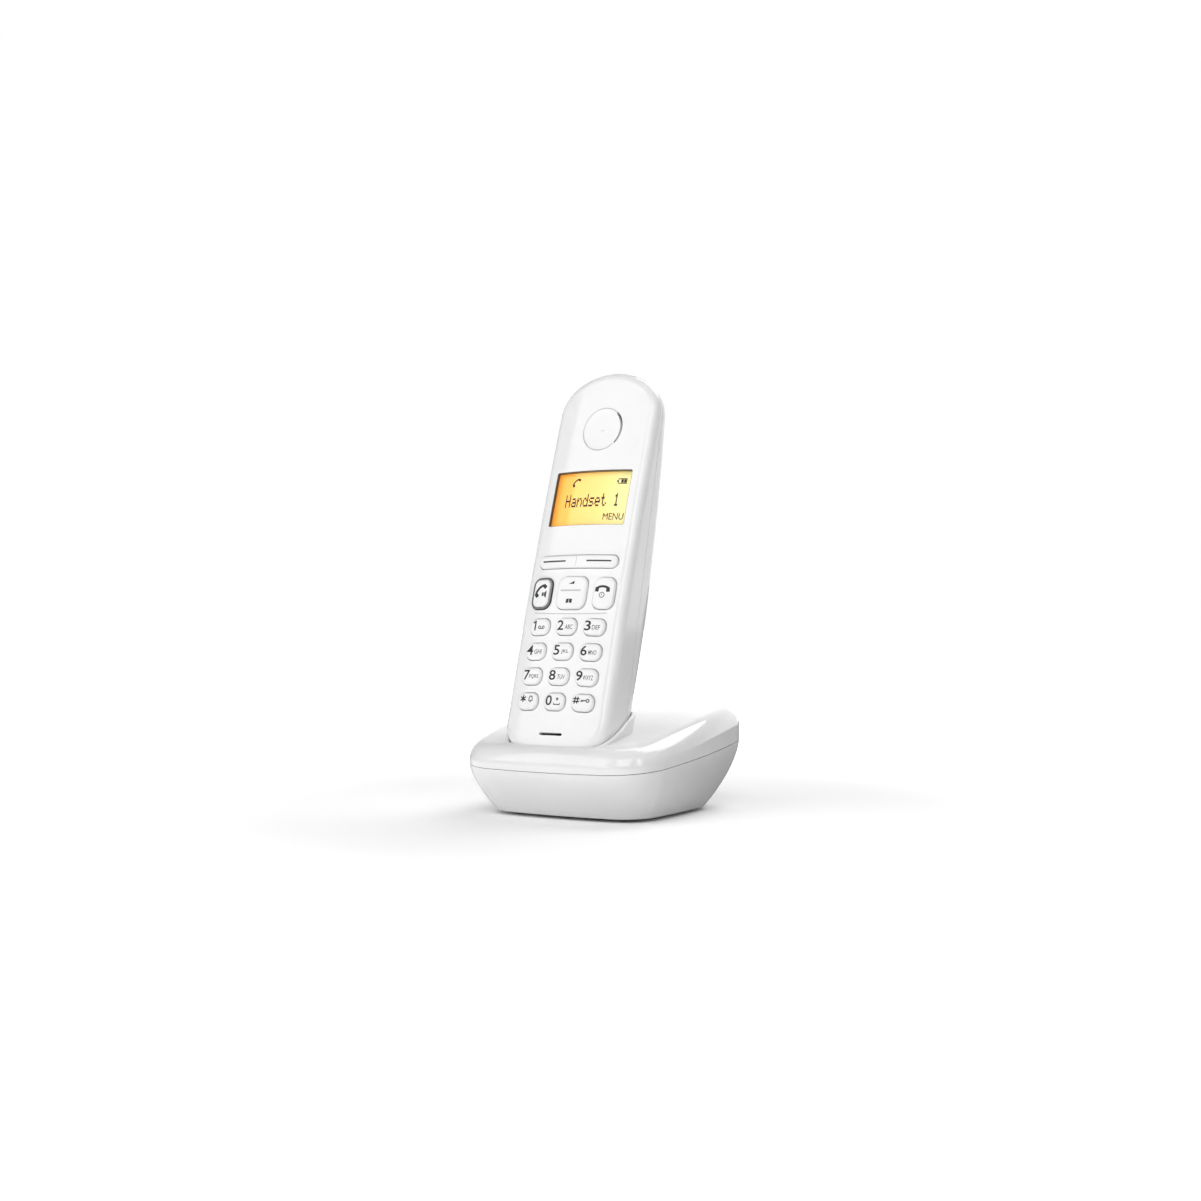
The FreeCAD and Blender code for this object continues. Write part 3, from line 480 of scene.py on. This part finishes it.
def draw_one(marks, x, y):
    marks.ribbon([(x - 0.8, y + 1.05), (x + 0.3, y + 1.85)], width=0.5)
    marks.ribbon([(x + 0.35, y - 2.05), (x + 0.35, y + 2.05)], width=0.55)


def draw_star(marks, x, y):
    for turn in (90, 30, 150):
        marks.ribbon(turned([(-1.45, 0), (1.45, 0)], turn, x, y), width=0.46)


def draw_hash(marks, x, y):
    for side in (-0.55, 0.55):
        marks.ribbon([(x + side - 0.16, y - 1.4), (x + side + 0.16, y + 1.4)], width=0.42)
        marks.ribbon([(x - 1.45, y + side), (x + 1.45, y + side)], width=0.4)


def draw_message(marks, x, y):
    """Two reels joined by a line, for voice messages."""
    for side in (-0.95, 0.95):
        marks.ring(x + side, y + 0.05, radius=0.5, width=0.3)
    marks.ribbon([(x - 1.05, y - 0.5), (x + 1.05, y - 0.5)], width=0.28)


def draw_bell(marks, x, y):
    """A bell for the ringer."""
    outline = [(x - 1.0, y - 0.5), (x - 0.7, y + 0.5)]
    outline += arc_points(x, y + 0.5, radius=0.7, first=180, last=0, steps=8)[1:-1]
    outline += [(x + 0.7, y + 0.5), (x + 1.0, y - 0.5)]
    marks.ribbon(outline, width=0.36, closed=True)
    marks.ribbon([(x - 0.35, y - 1.05), (x + 0.35, y - 1.05)], width=0.38)


def draw_space(marks, x, y):
    """An arrow over a low bracket, for shift and space."""
    marks.ribbon([(x - 0.55, y + 0.75), (x, y + 1.4), (x + 0.55, y + 0.75)], width=0.36)
    marks.ribbon([(x, y + 1.2), (x, y + 0.2)], width=0.36)
    bracket = [(x - 1.4, y - 0.6), (x - 1.4, y - 1.3), (x + 1.4, y - 1.3), (x + 1.4, y - 0.6)]
    marks.ribbon(bracket, width=0.36)


def draw_lock_key(marks, x, y):
    """A little key for the keypad lock."""
    marks.ring(x + 1.15, y, radius=0.6, width=0.36)
    marks.ribbon([(x + 0.55, y), (x - 1.75, y)], width=0.38)
    marks.ribbon([(x - 1.55, y), (x - 1.55, y - 0.65)], width=0.38)
    marks.ribbon([(x - 0.85, y), (x - 0.85, y - 0.55)], width=0.38)


def add_number_legends():
    for y, row in zip(KEY_ROWS, NUMBER_KEYS):
        for x, (body, digit, digit_x, width, letters, letters_x) in zip(KEY_COLUMNS, row):
            big = Print(x, y)
            small = Print(x, y)
            if digit:
                big.lettering(digit, digit_x, DIGIT_Y, width, DIGIT_HEIGHT, DIGIT_WEIGHT)
            if letters:
                letters_width = LETTERS_WIDTH[len(letters)]
                small.lettering(letters, letters_x, LETTERS_Y, letters_width, LETTER_HEIGHT, LETTER_WEIGHT)
            if body == "key_1":
                draw_one(big, -2.2, DIGIT_Y)
                draw_message(small, 1.25, -0.5)
            if body == "key_star":
                draw_star(big, -2.0, 0.85)
                draw_bell(small, 1.7, 0.65)
            if body == "key_0":
                draw_space(small, 1.7, 0.0)
            if body == "key_hash":
                draw_hash(big, -2.5, 0.8)
                draw_lock_key(small, 1.35, 0.75)
            big.lay("legend_" + body[4:], KEY_PROUD, ink, body)
            small.lay("letters_" + body[4:], KEY_PROUD, fine_ink, body)


def draw_handset(marks, x, y, turn, half_span, radius, width, lobe):
    """A telephone handset seen from the side, bowed upwards before it is turned."""
    drop = math.sqrt(radius ** 2 - half_span ** 2)
    half_turn = math.degrees(math.asin(half_span / radius))
    bow = [(px, py - drop) for px, py in arc_points(0, 0, radius, 90 + half_turn, 90 - half_turn)]
    marks.ribbon(turned(bow, turn, x, y), width)
    for side in (-1, 1):
        middle = side * (half_span - lobe * 0.45)
        tip = [(middle - side * 0.05, width * 0.35), (middle + side * 0.12, -lobe * 0.95)]
        marks.ribbon(turned(tip, turn, x, y), lobe)


BOOK_X = -0.2
LINE_WIDTH = 9.4
DASH_WIDTH = 11.2


def add_function_legends():
    talk = Print(-FUNCTION_COLUMN, FUNCTION_ROW)
    draw_handset(talk, -0.35, 0.95, turn=46, half_span=3.1, radius=4.4, width=0.85, lobe=1.2)
    talk.slab([(0.55, -1.4), (1.45, -1.4), (1.45, 0.1), (0.55, 0.1)])
    talk.slab([(1.65, -1.3), (2.75, -2.3), (2.75, 0.95), (1.65, 0.0)])
    talk.lay("legend_talk", TALK_PROUD, ink, "key_talk")

    end = Print(FUNCTION_COLUMN, FUNCTION_ROW)
    draw_handset(end, -0.3, 1.45, turn=0, half_span=2.95, radius=4.6, width=0.78, lobe=1.25)
    end.lay("legend_end", KEY_PROUD, ink, "key_end")
    power = Print(FUNCTION_COLUMN, FUNCTION_ROW)
    power.ring(-0.3, -1.05, radius=1.05, width=0.3)
    power.ribbon([(-0.3, -1.35), (-0.3, -0.6)], width=0.28)
    power.lay("legend_power", KEY_PROUD, pale_ink, "key_end")

    marks = Print(0, FUNCTION_ROW)
    marks.slab([(-1.55, 3.45), (1.05, 3.4), (1.05, 4.75)])
    for side in (-1, 1):
        inner = BOOK_X + side * 0.12
        outer = BOOK_X + side * 1.4
        page = [(inner, -4.45), (inner, -2.75), (outer, -2.95), (outer, -4.65)]
        marks.slab(page if side < 0 else page[::-1])
    marks.lay("legend_navigation", KEY_PROUD, ink, "key_navigation")
    line = Print(0, FUNCTION_ROW)
    line.bar(-0.2, 0.75, LINE_WIDTH, height=0.5)
    line.lay("line_navigation", KEY_PROUD, crease_shade, "key_navigation")

    dashes = Print(0, SOFT_ROW)
    for x in (-10.7, 10.4):
        dashes.bar(x, 0.0, DASH_WIDTH, height=0.52)
    dashes.lay("legend_soft_bar", SOFT_PROUD, ink, "key_soft_bar")


CREASE_Y = 58.9
CREASE_REACH = 17.0
CREASE_SAG = 0.6
CREASE_STEP = 2.0
FINE_LINE = 0.26


def add_crease_shade():
    """A grey line across the face below the function keys: painted shade of a shallow crease there."""
    crease = Print(0, CREASE_Y)
    across = [-CREASE_REACH + CREASE_STEP * i for i in range(18)]
    crease.ribbon([(x, -CREASE_SAG * (1 - (x / CREASE_REACH) ** 2)) for x in across], width=0.3)
    crease.lay("face_crease_shade", 0.0, crease_shade, "handset")


def add_earpiece_seam_shade():
    """The fine grey line round the earpiece, open where its sound slot is: painted shade of the seam
    between the earpiece cover and the face.
    """
    line = Print(*EARPIECE)
    around = arc_points(0, 0, EARPIECE_RADIUS, first=53, last=314, steps=60)
    line.ribbon([(x * EARPIECE_NARROW, y) for x, y in around], FINE_LINE)
    line.lay("earpiece_seam_shade", 0.0, crease_shade, "handset")


# ---- display ----------------------------------------------------------------------------------
# The sleeve's inner edge is moved right and down, so its front band is wider at the left and top: painted
# shade of the opening's walls
MASK_SHADE_SHIFT = (0.18, -0.15)
MASK_GAP = 0.01
MASK_EDGE = 0.3
MASK_FRONT = -0.04
PICTURE_GAP = 0.14
PICTURE_DEPTH = WINDOW_DEPTH + PANE + PICTURE_GAP
DOT_LETTERS = {
    "H": ("#...#", "#...#", "#...#", "#####", "#...#", "#...#", "#...#"),
    "a": (".....", ".....", ".###.", "....#", ".####", "#...#", ".####"),
    "n": (".....", ".....", "#.##.", "##..#", "#...#", "#...#", "#...#"),
    "d": ("....#", "....#", ".##.#", "#..##", "#...#", "#...#", ".####"),
    "s": (".....", ".....", ".####", "#....", ".###.", "....#", "####."),
    "e": (".....", ".....", ".###.", "#...#", "#####", "#....", ".###."),
    "t": (".#...", ".#...", "###..", ".#...", ".#...", ".#..#", "..##."),
    " ": (".....", ".....", ".....", ".....", ".....", ".....", "....."),
    "1": ("..#..", ".##..", "..#..", "..#..", "..#..", "..#..", ".###."),
}
DOT_ROWS = 7
DOT_PITCH = 6
DOT_WIDTH = 0.484
DOT_HEIGHT = 0.8


def draw_dots(marks, text, x, y):
    """A word in upright dots, five by seven to a letter, centred on a place."""
    left = x - (len(text) * DOT_PITCH - 1) * DOT_WIDTH / 2
    top = y + DOT_ROWS * DOT_HEIGHT / 2
    for i, letter in enumerate(text):
        for row, dots in enumerate(DOT_LETTERS[letter]):
            for column, dot in enumerate(dots):
                if dot == "#":
                    x0 = left + (i * DOT_PITCH + column) * DOT_WIDTH
                    y0 = top - (row + 1) * DOT_HEIGHT
                    x1 = x0 + DOT_WIDTH
                    y1 = y0 + DOT_HEIGHT
                    marks.slab([(x0, y0), (x1, y0), (x1, y1), (x0, y1)])


def draw_battery(marks, x, y):
    """A battery lying on its side, two of its three bars lit."""
    case = [(x - 1.7, y - 1.0), (x + 2.0, y - 1.0), (x + 2.0, y + 1.0), (x - 1.7, y + 1.0)]
    marks.ribbon(case, width=0.36, closed=True)
    marks.slab([(x - 2.35, y - 0.45), (x - 1.85, y - 0.45), (x - 1.85, y + 0.45), (x - 2.35, y + 0.45)])
    for left in (-0.5, 0.75):
        marks.slab([(x + left, y - 0.7), (x + left + 1.05, y - 0.7), (x + left + 1.05, y + 0.7),
                    (x + left, y + 0.7)])


def add_display_marks():
    marks = Print(0, 0)
    draw_dots(marks, "Handset 1", 0.0, 108.1)
    draw_handset(marks, -8.9, 116.3, turn=45, half_span=2.1, radius=3.0, width=0.55, lobe=0.8)
    draw_battery(marks, 12.9, 116.2)
    marks.lettering("MENU", 11.3, 100.7, width=9.2, height=2.9)
    marks.lay("display_marks", -PICTURE_DEPTH, display_ink, "handset")


SHEET_MARGIN = 1.1
SHEET_BACK = -0.2
SHEET_FRONT = -0.03


def add_display_picture():
    """The lit sheet right behind the pane, which the marks are drawn on."""
    y0, y1 = WINDOW_Y
    sheet = Print(0, (y0 + y1) / 2)
    reach = WINDOW_HALF_WIDTH + SHEET_MARGIN
    half = (y1 - y0) / 2 + SHEET_MARGIN
    columns = 24
    rows = 6
    xs = [-reach + 2 * reach * i / columns for i in range(columns + 1)]
    ys = [-half + 2 * half * j / rows for j in range(rows + 1)]
    levels = [[[sheet.mesh.verts.new((x, y, z)) for x in xs] for y in ys]
              for z in (SHEET_BACK, SHEET_FRONT)]
    for j in range(rows):
        for i in range(columns):
            for k, level in enumerate(levels):
                quad = [level[j][i], level[j][i + 1], level[j + 1][i + 1], level[j + 1][i]]
                sheet.mesh.faces.new(quad if k else quad[::-1])
    low, high = levels
    rim = [(0, i) for i in range(columns)] + [(j, columns) for j in range(rows)]
    rim += [(rows, columns - i) for i in range(columns)] + [(rows - j, 0) for j in range(rows)]
    for (j, i), (next_j, next_i) in zip(rim, rim[1:] + rim[:1]):
        sheet.mesh.faces.new((low[j][i], low[next_j][next_i], high[next_j][next_i], high[j][i]))
    sheet.lay("display_picture", -PICTURE_DEPTH, backlight_and_painted_reflection(), "handset")


def rounded_loop(half_x, half_y, corner, along=16, round_steps=4):
    """A rectangle with round corners as a closed loop, its sides cut into short runs."""
    arcs = []
    for side_x, side_y, first in ((1, 1, 0), (-1, 1, 90), (-1, -1, 180), (1, -1, 270)):
        x = side_x * (half_x - corner)
        y = side_y * (half_y - corner)
        arcs.append(arc_points(x, y, corner, first, first + 90, round_steps))
    loop = []
    for arc, following in zip(arcs, arcs[1:] + arcs[:1]):
        loop += arc
        x0, y0 = arc[-1]
        x1, y1 = following[0]
        for k in range(1, along):
            loop.append((x0 + (x1 - x0) * k / along, y0 + (y1 - y0) * k / along))
    return loop


def add_display_sleeve_and_shade():
    """The dark sleeve that lines the display's opening: a dark frame, tinted brown as painted amber spill
    from the display, and wider at the left and top as painted shade of the opening's walls.
    """
    y0, y1 = WINDOW_Y
    sleeve = Print(0, (y0 + y1) / 2)
    half_y = (y1 - y0) / 2
    outer = rounded_loop(WINDOW_HALF_WIDTH - MASK_GAP, half_y - MASK_GAP, corner=0.8)
    inner = rounded_loop(WINDOW_HALF_WIDTH - MASK_EDGE, half_y - MASK_EDGE, corner=0.5)
    inner = [(x + MASK_SHADE_SHIFT[0], y + MASK_SHADE_SHIFT[1]) for x, y in inner]
    back = -WINDOW_DEPTH
    rings = []
    for loop, z in ((outer, MASK_FRONT), (inner, MASK_FRONT), (inner, back), (outer, back)):
        rings.append([sleeve.mesh.verts.new((x, y, z)) for x, y in loop])
    count = len(outer)
    for a, b in zip(rings, rings[1:] + rings[:1]):
        for i in range(count):
            j = (i + 1) % count
            sleeve.mesh.faces.new((a[i], a[j], b[j], b[i]))
    sleeve.lay("display_sleeve_and_shade", 0.0, sleeve_painted_shade, "handset")


add_number_legends()
add_function_legends()
add_crease_shade()
add_earpiece_seam_shade()
add_display_marks()
add_display_picture()
add_display_sleeve_and_shade()


# ---- surroundings -----------------------------------------------------------------------------
FLOOR = 7.0
FLOOR_FRONT = (-0.35, -0.94, 0.0)
CARD_FROM = -0.05
CARD_BY = 0.12
FLOOR_WHITE_FROM = 0.12
FLOOR_WHITE_BY = 0.42
FLOOR_BOUNCE = 0.37
FLOOR_CARD = 1.35
FLOOR_SEEN = 1.06
WORLD_BRIGHT_WAY = (-0.15, 0.95, -0.28)
WORLD_LEVELS = ((0.0, 0.25), (0.45, 0.31), (0.6, 0.58), (0.76, 1.4), (1.0, 1.4))
PANEL_TARGET = Vector((0, 0, 0.09))
PANEL_DISTANCE = 1.3


def add_stage():
    """A white floor with a bounce card at the front.

    The camera sees the soft shadow round the base and pure white away from it.
    """
    mesh = bpy.data.meshes.new("floor")
    corners = [(-FLOOR, -FLOOR, 0), (FLOOR, -FLOOR, 0), (FLOOR, FLOOR, 0), (-FLOOR, FLOOR, 0)]
    mesh.from_pydata(corners, [], [(0, 1, 2, 3)])
    floor = bpy.data.objects.new("floor", mesh)
    bpy.context.scene.collection.objects.link(floor)
    n = Nodes("floor")
    frontness = n.add("ShaderNodeVectorMath", operation="DOT_PRODUCT")
    frontness.inputs[1].default_value = FLOOR_FRONT
    n.link(n.place, frontness.inputs[0])
    card = n.range(frontness.outputs["Value"], FLOOR_BOUNCE, FLOOR_CARD, CARD_FROM, CARD_BY)
    seen = n.add("ShaderNodeLightPath").outputs["Is Camera Ray"]
    level = n.add("ShaderNodeMixRGB")
    n.link(seen, level.inputs["Fac"])
    n.link(card, level.inputs["Color1"])
    level.inputs["Color2"].default_value = (FLOOR_SEEN, FLOOR_SEEN, FLOOR_SEEN, 1)
    paper = n.add("ShaderNodeBsdfDiffuse")
    n.link(level.outputs["Color"], paper.inputs["Color"])
    away = n.add("ShaderNodeVectorMath", operation="LENGTH")
    n.link(n.place, away.inputs[0])
    glow = n.range(away.outputs["Value"], 0.0, 1.0, FLOOR_WHITE_FROM, FLOOR_WHITE_BY,
                   interpolation_type="SMOOTHSTEP")
    only_seen = n.add("ShaderNodeMath", operation="MULTIPLY")
    n.link(glow, only_seen.inputs[0])
    n.link(seen, only_seen.inputs[1])
    white = n.add("ShaderNodeEmission")
    n.link(only_seen.outputs["Value"], white.inputs["Strength"])
    both = n.add("ShaderNodeAddShader")
    n.link(paper.outputs["BSDF"], both.inputs[0])
    n.link(white.outputs["Emission"], both.inputs[1])
    n.link(both.outputs["Shader"], n.tree.nodes["Material Output"].inputs["Surface"])
    n.tree.nodes.remove(n.shader)
    mesh.materials.append(n.material)


def add_panel(name, azimuth, elevation, size, radiance):
    """A soft box facing the phone, at an azimuth from its front and an elevation."""
    data = bpy.data.lights.new(name, "AREA")
    data.shape = "RECTANGLE"
    data.size, data.size_y = size
    data.energy = radiance * math.pi * size[0] * size[1]
    light = bpy.data.objects.new(name, data)
    bpy.context.scene.collection.objects.link(light)
    a = math.radians(azimuth)
    e = math.radians(elevation)
    aim = Vector((math.sin(a) * math.cos(e), -math.cos(a) * math.cos(e), math.sin(e)))
    light.location = PANEL_TARGET + aim * PANEL_DISTANCE
    light.rotation_euler = (-aim).to_track_quat("-Z", "Y").to_euler()


def add_world():
    """White to the camera; as a light, grey levels that grow towards the back of the scene."""
    world = bpy.data.worlds.new("studio")
    bpy.context.scene.world = world
    world.use_nodes = True
    tree = world.node_tree
    back = tree.nodes["Background"]
    ways = tree.nodes.new("ShaderNodeTexCoord")
    lift = tree.nodes.new("ShaderNodeVectorMath")
    lift.operation = "DOT_PRODUCT"
    lift.inputs[1].default_value = WORLD_BRIGHT_WAY
    tree.links.new(ways.outputs["Generated"], lift.inputs[0])
    ramp = tree.nodes.new("ShaderNodeValToRGB")
    fill_ramp(ramp.color_ramp, [(position, (level,) * 3) for position, level in WORLD_LEVELS])
    tree.links.new(lift.outputs["Value"], ramp.inputs["Fac"])
    seen = tree.nodes.new("ShaderNodeLightPath")
    mix = tree.nodes.new("ShaderNodeMixRGB")
    tree.links.new(seen.outputs["Is Camera Ray"], mix.inputs["Fac"])
    tree.links.new(ramp.outputs["Color"], mix.inputs["Color1"])
    mix.inputs["Color2"].default_value = (1, 1, 1, 1)
    tree.links.new(mix.outputs["Color"], back.inputs["Color"])


add_stage()
add_world()
add_panel("key_panel", azimuth=-27, elevation=30, size=(1.05, 1.15), radiance=1.55)
add_panel("side_panel", azimuth=30, elevation=34, size=(0.6, 1.0), radiance=2.3)
add_panel("edge_panel", azimuth=64, elevation=26, size=(0.16, 0.9), radiance=3.0)
add_panel("top_panel", azimuth=162, elevation=56, size=(0.9, 0.9), radiance=3.0)

bpy.context.scene.view_settings.view_transform = "Standard"
